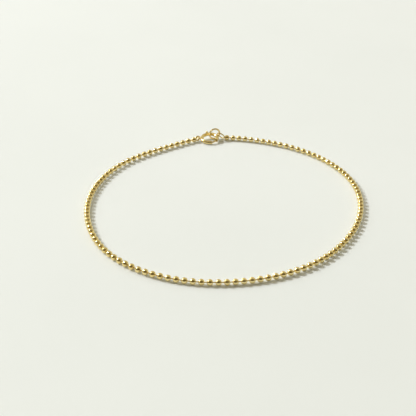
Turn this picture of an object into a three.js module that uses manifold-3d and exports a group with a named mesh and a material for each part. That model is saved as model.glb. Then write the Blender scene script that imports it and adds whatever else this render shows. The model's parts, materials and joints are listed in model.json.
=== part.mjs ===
// Bead chain anklet, lying flat as a closed loop with its clasp at the back.
// Millimetres, +Z up, the front of the loop towards -Y, the origin under the middle of the loop.

import * as THREE from "three";
import { mergeVertices } from "three/addons/utils/BufferGeometryUtils.js";
import Module from "manifold-3d";

// Chain sizes
const BEAD_RADIUS = 0.83;
const BEAD_SIDES = 10;
const BAR_RADIUS = 0.165;
const BAR_SIDES = 5;
const BEADS_PER_STRETCH = 9;
const FIRST_HEADING = -4;

// Half of one bead, from the bar's root to its waist, which is a short straight band
const BEAD_PROFILE = [
  { along: 0.65, radius: BAR_RADIUS, sides: BAR_SIDES },
  { along: 0.42, radius: 0.66, sides: BEAD_SIDES },
  { along: 0.14, radius: BEAD_RADIUS, sides: BEAD_SIDES },
];

// The loop's course from the right end of the clasp round the front to its left end. pitch is
// from bead to bead, which the loose bars let vary; turn is degrees for each bead of the
// stretch, negative to the right.
const STRETCHES = [
  { place: "right of the clasp", turn: -2.7, pitch: 1.93 },
  { place: "back right", turn: -3.2, pitch: 2.05 },
  { place: "right, back part", turn: -3.2, pitch: 2.07 },
  { place: "right, front part", turn: -2.4, pitch: 2.04 },
  { place: "front right corner", turn: -2.2, pitch: 2.05 },
  { place: "front, right part", turn: -3.0, pitch: 2.04 },
  { place: "front, left part", turn: -3.0, pitch: 2.05 },
  { place: "front left corner", turn: -3.7, pitch: 2.05 },
  { place: "left, front part", turn: -3.7, pitch: 2.1 },
  { place: "left, back part", turn: -2.3, pitch: 2.04 },
  { place: "back left corner", turn: -2.4, pitch: 1.98 },
  { place: "back left", turn: -3.2, pitch: 2.19 },
  { place: "left of the clasp", turn: -0.8, pitch: 2.08 },
];

// Soldered rings at the chain's two ends, the stub being from a bead's centre to its ring's wire
const END_WIRE_RADIUS = 0.2;
const END_STUB = 0.8;
const LEFT_RING = { radius: 0.69, heading: 41.8, climb: 6.4, roll: 79.6 };
const RIGHT_RING = { radius: 1.25, heading: 164.5, climb: 24.2, roll: 50.2 };

// Spring-ring clasp, placed from the chain's last bead
const CLASP_RADIUS = 2.4;
const TUBE_RADIUS = 0.53;
const TUBE_SIDES = 12;
const CLASP_OFFSET = { x: 4.94, y: 0.98 };
const CLASP_HEIGHT = 1.01;
const CLASP_HEADING = -5;
const CLASP_TILT = -1.9;
const CLASP_LEAN = 10;
const EYE_CENTRE = 3.3;
const EYE_RADIUS = 0.62;
const EYE_WIRE_RADIUS = 0.18;
const MOUTH = { start: -68, end: -28 };
const CHANNEL_RADIUS = 0.38;
const CHANNEL_END = 164;
const SOCKET_DEPTH = 8;
const DEGREES_PER_STEP = 12;

// Bolt and its trigger
const BOLT_RADIUS = 0.27;
const BOLT_SIDES = 8;
const BOLT_SEAT = 4;
const BOLT_TAIL = 117;
const BOLT_TRAVEL = 44;
const TRIGGER_ANGLE = 110;
const STEM_RADIUS = 0.2;
const KNOB_RADIUS = 0.42;
const KNOB_CENTRE = 3.45;
const SLOT_WIDTH = 0.62;
const SLOT_MARGIN = 8;

// Upright ring that the clasp is closed round
const CATCH_RADIUS = 1.65;
const CATCH_WIRE_RADIUS = 0.27;
const CATCH_HEADING = 17.9;
const CATCH_OFFSET = { x: 1.55, y: 1.39 };
const CATCH_LIFT = 0.03;

// Facets of the small rings
const WIRE_SIDES = 6;
const RING_STEPS = 16;

// Polished yellow gold
const GOLD = 0xd9b968;
const ROUGHNESS = { bead_chain: 0.15, clasp_body: 0.16, clasp_bolt: 0.2, catch_ring: 0.14 };

const wasm = await Module();
wasm.setup();

const radians = THREE.MathUtils.degToRad;

// Boolean helpers

function toSolid(geometry, matrix = new THREE.Matrix4()) {
  const bare = geometry.clone().applyMatrix4(matrix);
  bare.deleteAttribute("normal");
  bare.deleteAttribute("uv");
  const merged = mergeVertices(bare);
  const vertProperties = Float32Array.from(merged.getAttribute("position").array);
  const triVerts = Uint32Array.from(merged.getIndex().array);
  return new wasm.Manifold(new wasm.Mesh({ numProp: 3, vertProperties, triVerts }));
}

function toGeometry(solid) {
  const { vertProperties, triVerts } = solid.getMesh();
  const geometry = new THREE.BufferGeometry();
  geometry.setAttribute("position", new THREE.BufferAttribute(vertProperties, 3));
  geometry.setIndex(new THREE.BufferAttribute(triVerts, 1));
  geometry.computeVertexNormals();
  return geometry;
}

// A placing that rolls a piece about its own X axis, lifts that axis and turns it to a heading
function placing(position, { heading, climb, roll }) {
  const turn = new THREE.Euler(radians(roll), -radians(climb), radians(heading), "ZYX");
  const quaternion = new THREE.Quaternion().setFromEuler(turn);
  return new THREE.Matrix4().compose(position, quaternion, new THREE.Vector3(1, 1, 1));
}

// Arcs and outlines

class LevelArc extends THREE.Curve {
  constructor(radius, start, end) {
    super();
    this.radius = radius;
    this.start = radians(start);
    this.end = radians(end);
  }

  getPoint(fraction) {
    const angle = THREE.MathUtils.lerp(this.start, this.end, fraction);
    return new THREE.Vector3(Math.cos(angle), Math.sin(angle), 0).multiplyScalar(this.radius);
  }
}

function polygon(sides, radius) {
  const corners = Array.from({ length: sides }, (_, corner) => {
    const angle = (2 * Math.PI * (corner + 0.5)) / sides;
    return new THREE.Vector2(radius * Math.cos(angle), radius * Math.sin(angle));
  });
  return new THREE.Shape(corners);
}

function arcTube(tubeRadius, sides, start, end) {
  return new THREE.ExtrudeGeometry(polygon(sides, tubeRadius), {
    steps: Math.max(1, Math.round((end - start) / DEGREES_PER_STEP)),
    extrudePath: new LevelArc(CLASP_RADIUS, start, end),
  });
}

// A level slice of a ring, centred on the plane of the clasp
function ringSlice(inner, outer, start, end, thickness) {
  const steps = Math.round((end - start) / DEGREES_PER_STEP);
  const inside = new LevelArc(inner, start, end).getPoints(steps);
  const outside = new LevelArc(outer, start, end).getPoints(steps).reverse();
  const outline = new THREE.Shape([...inside, ...outside].map(({ x, y }) => new THREE.Vector2(x, y)));
  const slice = new THREE.ExtrudeGeometry(outline, { depth: thickness, bevelEnabled: false });
  return slice.translate(0, 0, -thickness / 2);
}

// The chain

function headingVector(heading) {
  return new THREE.Vector3(Math.cos(heading), Math.sin(heading), 0);
}

// Bead centres, walked pitch by pitch from the right end of the clasp, all on the table
function walkBeads() {
  const centres = [new THREE.Vector3(0, 0, BEAD_RADIUS)];
  let heading = radians(FIRST_HEADING);
  for (const { turn, pitch } of STRETCHES) {
    for (let bead = 0; bead < BEADS_PER_STRETCH; bead += 1) {
      const step = headingVector(heading).multiplyScalar(pitch);
      centres.push(centres.at(-1).clone().add(step));
      heading += radians(turn);
    }
  }
  return centres;
}

// Where the stub beyond a string's last bead meets its ring
function stubEnd(bead, neighbour) {
  return bead.clone().sub(neighbour).setLength(END_STUB).add(bead);
}

// Corners of one cross-section, a flat side down
function crossSection(centre, axis, radius, sides) {
  const across = new THREE.Vector3(0, 0, 1).cross(axis).normalize();
  const up = axis.clone().cross(across);
  const corner = radius / Math.cos(Math.PI / BEAD_SIDES);
  return Array.from({ length: sides }, (_, index) => {
    const angle = -Math.PI / 2 + Math.PI / BEAD_SIDES + (2 * Math.PI * index) / sides;
    return centre
      .clone()
      .addScaledVector(across, corner * Math.cos(angle))
      .addScaledVector(up, corner * Math.sin(angle));
  });
}

// Triangles between two neighbouring cross-sections with the same or half the number of corners
function joinSections(first, second, triangles) {
  const sides = Math.max(first.count, second.count);
  const pick = (section, corner) => {
    const stride = sides / section.count;
    return section.start + (Math.ceil(corner / stride) % section.count);
  };
  for (let corner = 0; corner < sides; corner += 1) {
    const a = pick(first, corner);
    const b = pick(first, corner + 1);
    const c = pick(second, corner);
    const d = pick(second, corner + 1);
    if (a !== b) triangles.push(a, b, c);
    if (c !== d) triangles.push(b, d, c);
  }
}

function closeEnd(section, outward, triangles) {
  for (let corner = 1; corner < section.count - 1; corner += 1) {
    const pair = [section.start + corner, section.start + corner + 1];
    triangles.push(section.start, ...(outward ? pair : pair.reverse()));
  }
}

// Beads and bars in one skin, from the first end ring's wire to the last one's
function beadString(centres, stubEnds) {
  const route = [stubEnds[0], ...centres, stubEnds[1]];
  const points = [];
  const sections = [];
  const addSection = (centre, axis, radius, sides) => {
    sections.push({ start: points.length, count: sides });
    points.push(...crossSection(centre, axis, radius, sides));
  };
  const stations = [
    ...BEAD_PROFILE.map((row) => ({ ...row, along: -row.along })),
    ...[...BEAD_PROFILE].reverse(),
  ];
  centres.forEach((centre, index) => {
    const axis = route[index + 2].clone().sub(route[index]).normalize();
    if (index === 0) addSection(stubEnds[0], axis, BAR_RADIUS, BAR_SIDES);
    for (const { along, radius, sides } of stations) {
      addSection(centre.clone().addScaledVector(axis, along), axis, radius, sides);
    }
    if (index === centres.length - 1) addSection(stubEnds[1], axis, BAR_RADIUS, BAR_SIDES);
  });
  const triangles = [];
  closeEnd(sections[0], false, triangles);
  sections.slice(1).forEach((section, index) => joinSections(sections[index], section, triangles));
  closeEnd(sections.at(-1), true, triangles);
  const geometry = new THREE.BufferGeometry().setFromPoints(points);
  geometry.setIndex(triangles);
  return geometry;
}

function endRing(stubTip, ring) {
  const shape = new THREE.TorusGeometry(ring.radius, END_WIRE_RADIUS, WIRE_SIDES, RING_STEPS);
  return toSolid(shape.translate(ring.radius, 0, 0), placing(stubTip, ring));
}

function chainGeometry(centres) {
  const stubEnds = [stubEnd(centres[0], centres[1]), stubEnd(centres.at(-1), centres.at(-2))];
  const chain = toSolid(beadString(centres, stubEnds));
  const rightRing = endRing(stubEnds[0], RIGHT_RING);
  const leftRing = endRing(stubEnds[1], LEFT_RING);
  return toGeometry(chain.add(rightRing).add(leftRing));
}

// The clasp, drawn round its own centre with its eye towards -X

function claspBodyGeometry() {
  const tube = toSolid(arcTube(TUBE_RADIUS, TUBE_SIDES, MOUTH.end, MOUTH.start + 360));
  const channel = toSolid(
    arcTube(CHANNEL_RADIUS, BOLT_SIDES, MOUTH.end - SOCKET_DEPTH, CHANNEL_END),
  );
  const socketEnd = MOUTH.start + 360;
  const socket = toSolid(
    arcTube(CHANNEL_RADIUS, BOLT_SIDES, socketEnd - SOCKET_DEPTH, socketEnd + SOCKET_DEPTH),
  );
  const slot = toSolid(
    ringSlice(
      CLASP_RADIUS,
      CLASP_RADIUS + 2 * TUBE_RADIUS,
      TRIGGER_ANGLE - SLOT_MARGIN,
      TRIGGER_ANGLE + BOLT_TRAVEL + SLOT_MARGIN,
      SLOT_WIDTH,
    ),
  );
  const eyeRing = new THREE.TorusGeometry(EYE_RADIUS, EYE_WIRE_RADIUS, WIRE_SIDES, RING_STEPS);
  const eye = toSolid(eyeRing.translate(-EYE_CENTRE, 0, 0));
  return toGeometry(tube.subtract(channel).subtract(socket).subtract(slot).add(eye));
}

function claspBoltGeometry() {
  const bolt = toSolid(arcTube(BOLT_RADIUS, BOLT_SIDES, MOUTH.start - BOLT_SEAT, BOLT_TAIL));
  const stemLength = KNOB_CENTRE - CLASP_RADIUS;
  const stemShape = new THREE.CylinderGeometry(STEM_RADIUS, STEM_RADIUS, stemLength, BOLT_SIDES);
  stemShape.translate(0, CLASP_RADIUS + stemLength / 2, 0);
  const knobShape = new THREE.SphereGeometry(KNOB_RADIUS, BEAD_SIDES, WIRE_SIDES);
  knobShape.translate(0, KNOB_CENTRE, 0);
  const turn = new THREE.Matrix4().makeRotationZ(radians(TRIGGER_ANGLE - 90));
  return toGeometry(bolt.add(toSolid(stemShape, turn)).add(toSolid(knobShape, turn)));
}

// The pieces and the finished group

function goldMesh(name, geometry) {
  const finish = { color: GOLD, roughness: ROUGHNESS[name], metalness: 1 };
  const mesh = new THREE.Mesh(geometry, new THREE.MeshStandardMaterial(finish));
  mesh.name = name;
  return mesh;
}

function buildClasp(centre) {
  const clasp = new THREE.Group();
  clasp.position.copy(centre);
  clasp.rotation.set(radians(CLASP_LEAN), radians(CLASP_TILT), radians(CLASP_HEADING), "ZYX");
  clasp.add(goldMesh("clasp_body", claspBodyGeometry()));
  clasp.add(goldMesh("clasp_bolt", claspBoltGeometry()));
  return clasp;
}

function buildCatchRing(claspCentre) {
  const shape = new THREE.TorusGeometry(CATCH_RADIUS, CATCH_WIRE_RADIUS, WIRE_SIDES, RING_STEPS);
  const ring = goldMesh("catch_ring", shape);
  const height = CATCH_RADIUS + CATCH_WIRE_RADIUS + CATCH_LIFT;
  ring.position.set(claspCentre.x + CATCH_OFFSET.x, claspCentre.y + CATCH_OFFSET.y, height);
  ring.rotation.set(Math.PI / 2, 0, radians(CATCH_HEADING), "ZYX");
  return ring;
}

function buildAnklet() {
  const anklet = new THREE.Group();
  const centres = walkBeads();
  const { x, y } = centres.at(-1);
  const claspCentre = new THREE.Vector3(x + CLASP_OFFSET.x, y + CLASP_OFFSET.y, CLASP_HEIGHT);
  anklet.add(goldMesh("bead_chain", chainGeometry(centres)));
  anklet.add(buildClasp(claspCentre));
  anklet.add(buildCatchRing(claspCentre));
  const middle = new THREE.Box3().setFromObject(anklet, true).getCenter(new THREE.Vector3());
  anklet.position.set(-middle.x, -middle.y, 0);
  return anklet;
}

export default buildAnklet();
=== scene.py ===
"""Looks of the bead chain anklet: smooth polished gold pieces in place of the faceted solids."""

import json
import math

import bpy
from mathutils import Matrix, Vector


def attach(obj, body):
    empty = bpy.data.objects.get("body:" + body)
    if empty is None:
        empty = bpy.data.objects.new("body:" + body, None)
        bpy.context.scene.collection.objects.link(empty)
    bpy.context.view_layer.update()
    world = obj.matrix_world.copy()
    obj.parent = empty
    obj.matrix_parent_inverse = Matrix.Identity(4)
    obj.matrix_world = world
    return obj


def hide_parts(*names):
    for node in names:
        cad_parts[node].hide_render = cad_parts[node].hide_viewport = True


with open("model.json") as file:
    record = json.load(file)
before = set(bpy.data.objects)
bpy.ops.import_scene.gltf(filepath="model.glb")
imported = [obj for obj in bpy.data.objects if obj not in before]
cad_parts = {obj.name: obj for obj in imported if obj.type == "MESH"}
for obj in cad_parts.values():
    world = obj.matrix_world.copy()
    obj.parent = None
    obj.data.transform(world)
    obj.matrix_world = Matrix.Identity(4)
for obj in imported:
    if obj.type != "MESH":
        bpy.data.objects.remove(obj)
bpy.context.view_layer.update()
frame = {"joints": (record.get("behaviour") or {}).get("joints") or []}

# The pieces are made in millimetres and degrees, as in the part's source, and their meshes are
# scaled to metres at the end. Light, floor and material sizes are metres from the start.
MM = 0.001
UP = Vector((0, 0, 1))

# Chain, each bead being a ball whose ends are rounded off flat
BEAD_RADIUS = 0.83
BEAD_HALF_LENGTH = 0.70
SHOULDER_RADIUS = 0.35
BEAD_ROWS = 5
SHOULDER_ROWS = 4
BAR_RADIUS = 0.165
CHAIN_SIDES = 28
BEADS_PER_STRETCH = 9
FIRST_HEADING = -4

# The rounded lip of the hole in a bead's end, down to where its bar comes out
BEAD_NECK = [
    {"along": 0.690, "radius": 0.265},
    {"along": 0.630, "radius": 0.245},
    {"along": 0.625, "radius": BAR_RADIUS},
]

# The loop's course from the right end of the clasp round the front to its left end. pitch is
# from bead to bead, which the loose bars let vary; turn is degrees for each bead of the
# stretch, negative to the right.
STRETCHES = [
    {"place": "right of the clasp", "turn": -2.7, "pitch": 1.93},
    {"place": "back right", "turn": -3.2, "pitch": 2.05},
    {"place": "right, back part", "turn": -3.2, "pitch": 2.07},
    {"place": "right, front part", "turn": -2.4, "pitch": 2.04},
    {"place": "front right corner", "turn": -2.2, "pitch": 2.05},
    {"place": "front, right part", "turn": -3.0, "pitch": 2.04},
    {"place": "front, left part", "turn": -3.0, "pitch": 2.05},
    {"place": "front left corner", "turn": -3.7, "pitch": 2.05},
    {"place": "left, front part", "turn": -3.7, "pitch": 2.1},
    {"place": "left, back part", "turn": -2.3, "pitch": 2.04},
    {"place": "back left corner", "turn": -2.4, "pitch": 1.98},
    {"place": "back left", "turn": -3.2, "pitch": 2.19},
    {"place": "left of the clasp", "turn": -0.8, "pitch": 2.08},
]

# Soldered rings at the chain's two ends, the stub being from a bead's centre to its ring's wire
END_WIRE_RADIUS = 0.2
END_STUB = 0.8
LEFT_RING = {"radius": 0.69, "heading": 41.8, "climb": 6.4, "roll": 79.6}
RIGHT_RING = {"radius": 1.25, "heading": 164.5, "climb": 24.2, "roll": 50.2}

# Spring-ring clasp, placed from the chain's last bead
CLASP_RADIUS = 2.4
TUBE_RADIUS = 0.53
CLASP_OFFSET = {"x": 4.94, "y": 0.98}
CLASP_HEIGHT = 1.01
CLASP_HEADING = -5
CLASP_TILT = -1.9
CLASP_LEAN = 10
EYE_CENTRE = 3.3
EYE_RADIUS = 0.62
EYE_WIRE_RADIUS = 0.18
MOUTH = {"start": -68, "end": -28}
CHANNEL_RADIUS = 0.38
CHANNEL_END = 164
SOCKET_DEPTH = 8
TUBE_SIDES = 48
LIP_STEPS = 8

# Bolt and its trigger
BOLT_RADIUS = 0.27
BOLT_SEAT = 4
BOLT_TAIL = 117
BOLT_TRAVEL = 44
TRIGGER_ANGLE = 110
STEM_RADIUS = 0.2
KNOB_RADIUS = 0.41
KNOB_CENTRE = 3.45
SLOT_WIDTH = 0.62
SLOT_MARGIN = 8
NOSE_STEPS = 6
KNOB_STEPS = 18

# Upright ring that the clasp is closed round
CATCH_RADIUS = 1.65
CATCH_WIRE_RADIUS = 0.27
CATCH_HEADING = 17.9
CATCH_OFFSET = {"x": 1.55, "y": 1.39}
CATCH_LIFT = 0.03

# Fineness of the meshes, and the angle from which an edge is drawn sharp
WIRE_SIDES = 24
RING_STEPS = 96
DEGREES_PER_STEP = 3
CREASE_ANGLE = 48

# The four golds, by the name of their slot. grain is how much finer the handling marks are along
# X, Y and Z.
GOLDS = {
    "chain_gold": {
        "light": (0.93, 0.77, 0.38, 1), "deep": (0.88, 0.70, 0.31, 1),
        "roughness": 0.17, "grain": (1, 1, 1),
    },
    "clasp_gold": {
        "light": (0.92, 0.75, 0.36, 1), "deep": (0.86, 0.67, 0.29, 1),
        "roughness": 0.16, "grain": (1, 1, 3),
    },
    "bolt_gold": {
        "light": (0.90, 0.71, 0.34, 1), "deep": (0.83, 0.63, 0.27, 1),
        "roughness": 0.2, "grain": (3, 1, 1),
    },
    "ring_gold": {
        "light": (0.94, 0.78, 0.40, 1), "deep": (0.89, 0.71, 0.32, 1),
        "roughness": 0.14, "grain": (1, 3, 1),
    },
}
TONE_SCALE = 420
TONE_DETAIL = 3
MARK_SCALE = 5200
MARK_DETAIL = 6
MARK_STRENGTH = 0.12
MARK_DEPTH = 0.00001
SMOOTHEST_SHARE = 0.75
ROUGHEST_SHARE = 1.3

# The part of a noise's range that most of its values lie in
NOISE_LOW = 0.35
NOISE_HIGH = 0.65

# Camera, in the part's frame and in millimetres
CAMERA_PLACE = (-5.0, -233.28, 123.64)
CAMERA_TILT = 28.36
CAMERA_YAW = -0.05
CAMERA_ROLL = 1.33
CAMERA_LENS = 81.95
CAMERA_NEAREST = 10
SENSOR_WIDTH = 36

# Light. The studio is bright behind the anklet and dark on the camera's side, between two values
# of a direction's Y.
KEY_DIRECTION = (-0.746, 0.286, 0.602)
KEY_DISTANCE = 4.0
KEY_SIZE = 0.2
KEY_POWER = 195
KEY_COLOUR = (0.925, 0.965, 1.0)
STUDIO_DARK = (0.13, 0.1, 0.05, 1)
STUDIO_BRIGHT = (0.62, 0.585, 0.46, 1)
STUDIO_DARK_END = -0.6
STUDIO_BRIGHT_END = 0.5

# Floor, which lets a little light through to its shadows
FLOOR_SIZE = 3.0
FLOOR_PALE = (0.79, 0.805, 0.78, 1)
FLOOR_SHADE = (0.77, 0.785, 0.76, 1)
FLOOR_CLOUD_SCALE = 9
FLOOR_CLOUD_DETAIL = 3
FLOOR_ROUGHNESS = 0.7
FLOOR_SHEEN = 0.2
FLOOR_GLOW = 0.8
FLOOR_GLOW_DEPTH = 0.003
FLOOR_GLOW_SPREAD = (1.0, 1.0, 1.0)


# Meshes

def sweep(stations, sides, closed=False):
    """Points and faces of a skin through round cross-sections of (centre, axis, across, radius)."""
    points = []
    faces = []
    for centre, axis, across, radius in stations:
        up = axis.cross(across)
        for side in range(sides):
            angle = 2 * math.pi * side / sides
            points.append(centre + across * (radius * math.cos(angle)) + up * (radius * math.sin(angle)))
    rows = len(stations)
    for row in range(rows if closed else rows - 1):
        first = row * sides
        second = (row + 1) % rows * sides
        for side in range(sides):
            after = (side + 1) % sides
            faces.append((first + side, first + after, second + after, second + side))
    if not closed:
        faces.append(tuple(reversed(range(sides))))
        faces.append(tuple(range((rows - 1) * sides, rows * sides)))
    return points, faces


def make_mesh_object(name, skin, placing=Matrix.Identity(4)):
    points, faces = skin
    mesh = bpy.data.meshes.new(name)
    mesh.from_pydata([placing @ point for point in points], [], faces)
    piece = bpy.data.objects.new(name, mesh)
    bpy.context.scene.collection.objects.link(piece)
    return piece


def combine(piece, operation, tools):
    """Joins the tools to the piece, or cuts them from it, and leaves one closed mesh."""
    for tool in tools:
        change = piece.modifiers.new("combine", "BOOLEAN")
        change.operation = operation
        change.solver = "MANIFOLD"
        change.object = tool
    graph = bpy.context.evaluated_depsgraph_get()
    combined = bpy.data.meshes.new_from_object(piece.evaluated_get(graph))
    piece.modifiers.clear()
    piece.data = combined
    for tool in tools:
        bpy.data.objects.remove(tool)


def ring_skin(radius, wire_radius):
    stations = []
    for step in range(RING_STEPS):
        stations.append(arc_station(radius, 360 * step / RING_STEPS, wire_radius))
    return sweep(stations, WIRE_SIDES, closed=True)


def arc_station(arc_radius, degrees, radius):
    """A cross-section of a tube that runs round the Z axis."""
    angle = math.radians(degrees)
    outward = Vector((math.cos(angle), math.sin(angle), 0))
    return outward * arc_radius, UP.cross(outward), outward, radius


def turned(position, heading, roll=0, pitch=0):
    """A placing that rolls a piece about X, pitches it about Y and then turns it to a heading."""
    turn = Matrix.Rotation(math.radians(heading), 4, "Z")
    turn = turn @ Matrix.Rotation(math.radians(pitch), 4, "Y")
    turn = turn @ Matrix.Rotation(math.radians(roll), 4, "X")
    return Matrix.Translation(position) @ turn


# Course of the chain

def heading_vector(heading):
    angle = math.radians(heading)
    return Vector((math.cos(angle), math.sin(angle), 0))


def walk_beads():
    """Bead centres from the right end of the clasp, all of the beads resting on the table."""
    centres = [Vector((0, 0, BEAD_RADIUS))]
    heading = FIRST_HEADING
    for stretch in STRETCHES:
        for _ in range(BEADS_PER_STRETCH):
            centres.append(centres[-1] + heading_vector(heading) * stretch["pitch"])
            heading += stretch["turn"]
    return centres


def lay_out():
    """Bead centres and the clasp's centre, in the part's frame."""
    beads = walk_beads()
    clasp = Vector((beads[-1].x + CLASP_OFFSET["x"], beads[-1].y + CLASP_OFFSET["y"], CLASP_HEIGHT))
    hinge = Vector(frame["joints"][0]["pos_m"]) / MM
    shift = hinge - clasp
    return [bead + shift for bead in beads], hinge


def stub_end(bead, neighbour):
    """Where the stub beyond a string's last bead meets its ring."""
    return bead + (bead - neighbour).normalized() * END_STUB


# Chain

def bead_profile():
    """Rows of (along, radius) over a whole bead, a ball with rounded flat ends, from bar to bar."""
    shoulder_along = BEAD_HALF_LENGTH - SHOULDER_RADIUS
    shoulder_reach = BEAD_RADIUS - SHOULDER_RADIUS
    shoulder_height = math.sqrt(shoulder_reach ** 2 - shoulder_along ** 2)
    ball_end = math.asin(shoulder_along / shoulder_reach)
    half = []
    for row in range(BEAD_ROWS + 1):
        angle = ball_end * row / BEAD_ROWS
        half.append((BEAD_RADIUS * math.sin(angle), BEAD_RADIUS * math.cos(angle)))
    for row in range(1, SHOULDER_ROWS + 1):
        angle = ball_end + (math.pi / 2 - ball_end) * row / SHOULDER_ROWS
        along = shoulder_along + SHOULDER_RADIUS * math.sin(angle)
        half.append((along, shoulder_height + SHOULDER_RADIUS * math.cos(angle)))
    half.extend((row["along"], row["radius"]) for row in BEAD_NECK)
    return [(-along, radius) for along, radius in reversed(half[1:])] + half


def chain_skin(beads, stub_ends):
    route = [stub_ends[0], *beads, stub_ends[1]]
    profile = bead_profile()
    stations = []
    for index, centre in enumerate(beads):
        axis = (route[index + 2] - route[index]).normalized()
        across = UP.cross(axis).normalized()
        rows = list(profile)
        if index == 0:
            rows.insert(0, (-END_STUB, BAR_RADIUS))
        if index == len(beads) - 1:
            rows.append((END_STUB, BAR_RADIUS))
        stations.extend((centre + axis * along, axis, across, radius) for along, radius in rows)
    return sweep(stations, CHAIN_SIDES)


def build_end_ring(stub_tip, ring):
    placing = turned(stub_tip, ring["heading"], ring["roll"], -ring["climb"])
    placing = placing @ Matrix.Translation((ring["radius"], 0, 0))
    return make_mesh_object("end_ring", ring_skin(ring["radius"], END_WIRE_RADIUS), placing)


def build_chain(beads):
    stub_ends = [stub_end(beads[0], beads[1]), stub_end(beads[-1], beads[-2])]
    chain = make_mesh_object("bead_string", chain_skin(beads, stub_ends))
    ends = [build_end_ring(stub_ends[0], RIGHT_RING), build_end_ring(stub_ends[1], LEFT_RING)]
    combine(chain, "UNION", ends)
    return chain


# Clasp

def lip(edge, inward):
    """Rows of (angle, radius) round the rounded end of the tube's wall, from inside to outside."""
    half_wall = (TUBE_RADIUS - CHANNEL_RADIUS) / 2
    turn = math.degrees(half_wall / CLASP_RADIUS) * inward
    rows = []
    for step in range(LIP_STEPS + 1):
        angle = math.pi * step / LIP_STEPS
        radius = CHANNEL_RADIUS + half_wall * (1 - math.cos(angle))
        rows.append((edge + turn * (1 - math.sin(angle)), radius))
    return rows


def steps_between(start, end, radius):
    """Rows of (angle, radius) between two angles, without either."""
    count = max(2, round(abs(end - start) / DEGREES_PER_STEP))
    return [(start + (end - start) * step / count, radius) for step in range(1, count)]


def tube_skin():
    """The clasp's tube: up the channel to the mouth, round its lip and on to the socket."""
    first_lip = lip(MOUTH["end"], 1)
    last_lip = lip(MOUTH["start"] + 360, -1)
    rows = [(CHANNEL_END, CHANNEL_RADIUS)]
    rows.extend(steps_between(CHANNEL_END, first_lip[0][0], CHANNEL_RADIUS))
    rows.extend(first_lip)
    rows.extend(steps_between(first_lip[-1][0], last_lip[-1][0], TUBE_RADIUS))
    rows.extend(reversed(last_lip))
    rows.append((MOUTH["start"] + 360 - SOCKET_DEPTH, CHANNEL_RADIUS))
    return sweep([arc_station(CLASP_RADIUS, angle, radius) for angle, radius in rows], TUBE_SIDES)


def rounded_end(start, turn, radius):
    """Rows of (angle, radius) up a round end that is turn degrees long."""
    rows = []
    for step in range(1, NOSE_STEPS + 1):
        angle = math.pi / 2 * step / NOSE_STEPS
        rows.append((start + turn * (1 - math.cos(angle)), radius * math.sin(angle)))
    return rows


def slot_skin():
    """What cuts the trigger's slot: a level slice of a ring with round ends."""
    start = TRIGGER_ANGLE - SLOT_MARGIN
    end = TRIGGER_ANGLE + BOLT_TRAVEL + SLOT_MARGIN
    half_width = SLOT_WIDTH / 2
    end_turn = math.degrees(half_width / (CLASP_RADIUS + TUBE_RADIUS))
    rows = rounded_end(start, end_turn, half_width)
    rows.extend(steps_between(start + end_turn, end - end_turn, half_width))
    rows.extend((start + end - angle, height) for angle, height in reversed(rows[:NOSE_STEPS]))
    points = []
    faces = []
    inner = CLASP_RADIUS
    outer = CLASP_RADIUS + 2 * TUBE_RADIUS
    for angle, height in rows:
        outward = heading_vector(angle)
        points.extend([outward * inner - UP * height, outward * outer - UP * height])
        points.extend([outward * outer + UP * height, outward * inner + UP * height])
    for first in range(0, len(points) - 4, 4):
        for corner in range(4):
            after = (corner + 1) % 4
            faces.append((first + after, first + corner, first + 4 + corner, first + 4 + after))
    faces.append((0, 1, 2, 3))
    last = len(points) - 4
    faces.append((last + 3, last + 2, last + 1, last))
    return points, faces


def build_clasp_body(placing):
    body = make_mesh_object("spring_ring", tube_skin(), placing)
    combine(body, "DIFFERENCE", [make_mesh_object("slot", slot_skin(), placing)])
    eye_placing = placing @ Matrix.Translation((-EYE_CENTRE, 0, 0))
    eye = make_mesh_object("eye", ring_skin(EYE_RADIUS, EYE_WIRE_RADIUS), eye_placing)
    combine(body, "UNION", [eye])
    return body


def bolt_skin():
    """The curved bolt with its rounded nose and tail."""
    start = MOUTH["start"] - BOLT_SEAT
    end = BOLT_TAIL
    nose_turn = math.degrees(BOLT_RADIUS / CLASP_RADIUS)
    nose = rounded_end(start, nose_turn, BOLT_RADIUS)
    rows = nose + steps_between(start + nose_turn, end - nose_turn, BOLT_RADIUS)
    rows.extend((start + end - angle, radius) for angle, radius in reversed(nose))
    return sweep([arc_station(CLASP_RADIUS, angle, radius) for angle, radius in rows], WIRE_SIDES)


def trigger_skin():
    """The trigger's stem and ball, turned about a line out from the clasp's centre."""
    neck = math.degrees(math.asin(STEM_RADIUS / KNOB_RADIUS))
    axis = heading_vector(TRIGGER_ANGLE)
    rows = [(CLASP_RADIUS, STEM_RADIUS)]
    for step in range(KNOB_STEPS):
        angle = math.radians(neck + (180 - neck) * step / KNOB_STEPS)
        rows.append((KNOB_CENTRE - KNOB_RADIUS * math.cos(angle), KNOB_RADIUS * math.sin(angle)))
    stations = [(axis * along, axis, UP, radius) for along, radius in rows]
    return sweep(stations, WIRE_SIDES)


def build_bolt(placing):
    bolt = make_mesh_object("bolt_and_trigger", bolt_skin(), placing)
    combine(bolt, "UNION", [make_mesh_object("trigger", trigger_skin(), placing)])
    return bolt


def build_catch_ring(clasp):
    height = CATCH_RADIUS + CATCH_WIRE_RADIUS + CATCH_LIFT
    centre = Vector((clasp.x + CATCH_OFFSET["x"], clasp.y + CATCH_OFFSET["y"], height))
    placing = turned(centre, CATCH_HEADING, 90)
    return make_mesh_object("closed_ring", ring_skin(CATCH_RADIUS, CATCH_WIRE_RADIUS), placing)


# Materials

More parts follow.
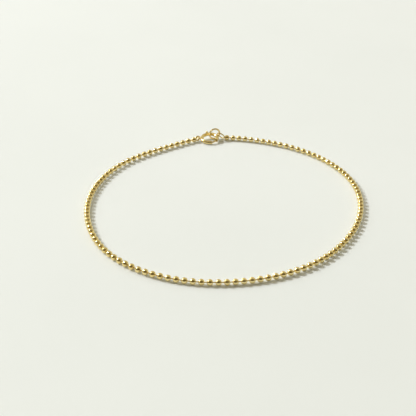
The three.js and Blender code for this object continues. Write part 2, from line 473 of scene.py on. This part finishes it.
def add_noise(tree, scale, detail, stretch=(1, 1, 1)):
    nodes, links = tree.nodes, tree.links
    place = nodes.new("ShaderNodeTexCoord")
    mapping = nodes.new("ShaderNodeMapping")
    mapping.inputs["Scale"].default_value = stretch
    noise = nodes.new("ShaderNodeTexNoise")
    noise.inputs["Scale"].default_value = scale
    noise.inputs["Detail"].default_value = detail
    links.new(place.outputs["Object"], mapping.inputs["Vector"])
    links.new(mapping.outputs["Vector"], noise.inputs["Vector"])
    return noise.outputs["Fac"]


def spread_to(tree, value, low, high):
    """A noise, its usual range spread from one number to another."""
    spread = tree.nodes.new("ShaderNodeMapRange")
    spread.inputs["From Min"].default_value = NOISE_LOW
    spread.inputs["From Max"].default_value = NOISE_HIGH
    spread.inputs["To Min"].default_value = low
    spread.inputs["To Max"].default_value = high
    tree.links.new(value, spread.inputs["Value"])
    return spread.outputs["Result"]


def mix_colours(tree, share, first, second):
    mix = tree.nodes.new("ShaderNodeMix")
    mix.data_type = "RGBA"
    mix.inputs["A"].default_value = first
    mix.inputs["B"].default_value = second
    tree.links.new(share, mix.inputs["Factor"])
    return mix.outputs["Result"]


def gold_material(slot):
    """Polished gold with a slight drift of tone, fine handling marks and a faint unevenness."""
    gold = GOLDS[slot]
    material = bpy.data.materials.new(slot)
    material.use_nodes = True
    tree = material.node_tree
    shader = tree.nodes["Principled BSDF"]
    shader.inputs["Metallic"].default_value = 1
    tone = spread_to(tree, add_noise(tree, TONE_SCALE, TONE_DETAIL), 0, 1)
    tree.links.new(mix_colours(tree, tone, gold["light"], gold["deep"]), shader.inputs["Base Color"])
    marks = add_noise(tree, MARK_SCALE, MARK_DETAIL, gold["grain"])
    smoothest = gold["roughness"] * SMOOTHEST_SHARE
    roughest = gold["roughness"] * ROUGHEST_SHARE
    tree.links.new(spread_to(tree, marks, smoothest, roughest), shader.inputs["Roughness"])
    bump = tree.nodes.new("ShaderNodeBump")
    bump.inputs["Strength"].default_value = MARK_STRENGTH
    bump.inputs["Distance"].default_value = MARK_DEPTH
    tree.links.new(marks, bump.inputs["Height"])
    tree.links.new(bump.outputs["Normal"], shader.inputs["Normal"])
    return material


def floor_material():
    material = bpy.data.materials.new("pale_floor")
    material.use_nodes = True
    tree = material.node_tree
    shader = tree.nodes["Principled BSDF"]
    shader.inputs["Roughness"].default_value = FLOOR_ROUGHNESS
    shader.inputs["Specular IOR Level"].default_value = FLOOR_SHEEN
    shader.inputs["Subsurface Weight"].default_value = FLOOR_GLOW
    shader.inputs["Subsurface Scale"].default_value = FLOOR_GLOW_DEPTH
    shader.inputs["Subsurface Radius"].default_value = FLOOR_GLOW_SPREAD
    cloud = spread_to(tree, add_noise(tree, FLOOR_CLOUD_SCALE, FLOOR_CLOUD_DETAIL), 0, 1)
    tree.links.new(mix_colours(tree, cloud, FLOOR_PALE, FLOOR_SHADE), shader.inputs["Base Color"])
    return material


# Studio

def build_floor():
    half = FLOOR_SIZE / 2
    corners = [(-half, -half, 0), (half, -half, 0), (half, half, 0), (-half, half, 0)]
    mesh = bpy.data.meshes.new("floor")
    mesh.from_pydata(corners, [], [(0, 1, 2, 3)])
    mesh.materials.append(floor_material())
    floor = bpy.data.objects.new("floor", mesh)
    bpy.context.scene.collection.objects.link(floor)


def build_world():
    """A plain studio, brighter behind the anklet than on the camera's side."""
    world = bpy.data.worlds.new("studio")
    world.use_nodes = True
    tree = world.node_tree
    place = tree.nodes.new("ShaderNodeTexCoord")
    split = tree.nodes.new("ShaderNodeSeparateXYZ")
    tree.links.new(place.outputs["Generated"], split.inputs["Vector"])
    spread = tree.nodes.new("ShaderNodeMapRange")
    spread.interpolation_type = "SMOOTHSTEP"
    spread.inputs["From Min"].default_value = STUDIO_DARK_END
    spread.inputs["From Max"].default_value = STUDIO_BRIGHT_END
    tree.links.new(split.outputs["Y"], spread.inputs["Value"])
    colour = mix_colours(tree, spread.outputs["Result"], STUDIO_DARK, STUDIO_BRIGHT)
    tree.links.new(colour, tree.nodes["Background"].inputs["Color"])
    bpy.context.scene.world = world


def build_key_light():
    light = bpy.data.lights.new("key", "AREA")
    light.shape = "DISK"
    light.size = KEY_SIZE
    light.energy = KEY_POWER
    light.color = KEY_COLOUR
    lamp = bpy.data.objects.new("key", light)
    direction = Vector(KEY_DIRECTION).normalized()
    lamp.location = direction * KEY_DISTANCE
    lamp.rotation_mode = "QUATERNION"
    lamp.rotation_quaternion = direction.to_track_quat("Z", "Y")
    bpy.context.scene.collection.objects.link(lamp)


def build_camera():
    data = bpy.data.cameras.new("camera")
    data.lens = CAMERA_LENS
    data.sensor_width = SENSOR_WIDTH
    data.clip_start = CAMERA_NEAREST * MM
    camera = bpy.data.objects.new("camera", data)
    turn = Matrix.Rotation(math.radians(CAMERA_YAW), 4, "Z")
    turn = turn @ Matrix.Rotation(math.radians(90 - CAMERA_TILT), 4, "X")
    turn = turn @ Matrix.Rotation(math.radians(CAMERA_ROLL), 4, "Z")
    camera.matrix_world = Matrix.Translation(Vector(CAMERA_PLACE) * MM) @ turn
    bpy.context.scene.collection.objects.link(camera)
    bpy.context.scene.camera = camera


# Pieces in their places

def finish_piece(piece, name, node, body, slot):
    """Scales a piece to metres, smooths and gilds it, and stands it in for its solid."""
    piece.name = name
    mesh = piece.data
    mesh.transform(Matrix.Scale(MM, 4))
    mesh.polygons.foreach_set("use_smooth", [True] * len(mesh.polygons))
    mesh.set_sharp_from_angle(angle=math.radians(CREASE_ANGLE))
    mesh.materials.clear()
    mesh.materials.append(gold_material(slot))
    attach(piece, body)
    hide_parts(node)


def build_anklet():
    beads, clasp = lay_out()
    clasp_placing = turned(clasp, CLASP_HEADING, CLASP_LEAN, CLASP_TILT)
    chain = build_chain(beads)
    finish_piece(chain, "beads_and_bars", "bead_chain", "anklet", "chain_gold")
    body = build_clasp_body(clasp_placing)
    finish_piece(body, "spring_ring", "clasp_body", "anklet", "clasp_gold")
    bolt = build_bolt(clasp_placing)
    finish_piece(bolt, "bolt_and_trigger", "clasp_bolt", "bolt", "bolt_gold")
    ring = build_catch_ring(clasp)
    finish_piece(ring, "closed_ring", "catch_ring", "anklet", "ring_gold")


build_camera()
build_world()
build_key_light()
build_floor()
build_anklet()
bpy.context.scene.view_settings.view_transform = "Standard"
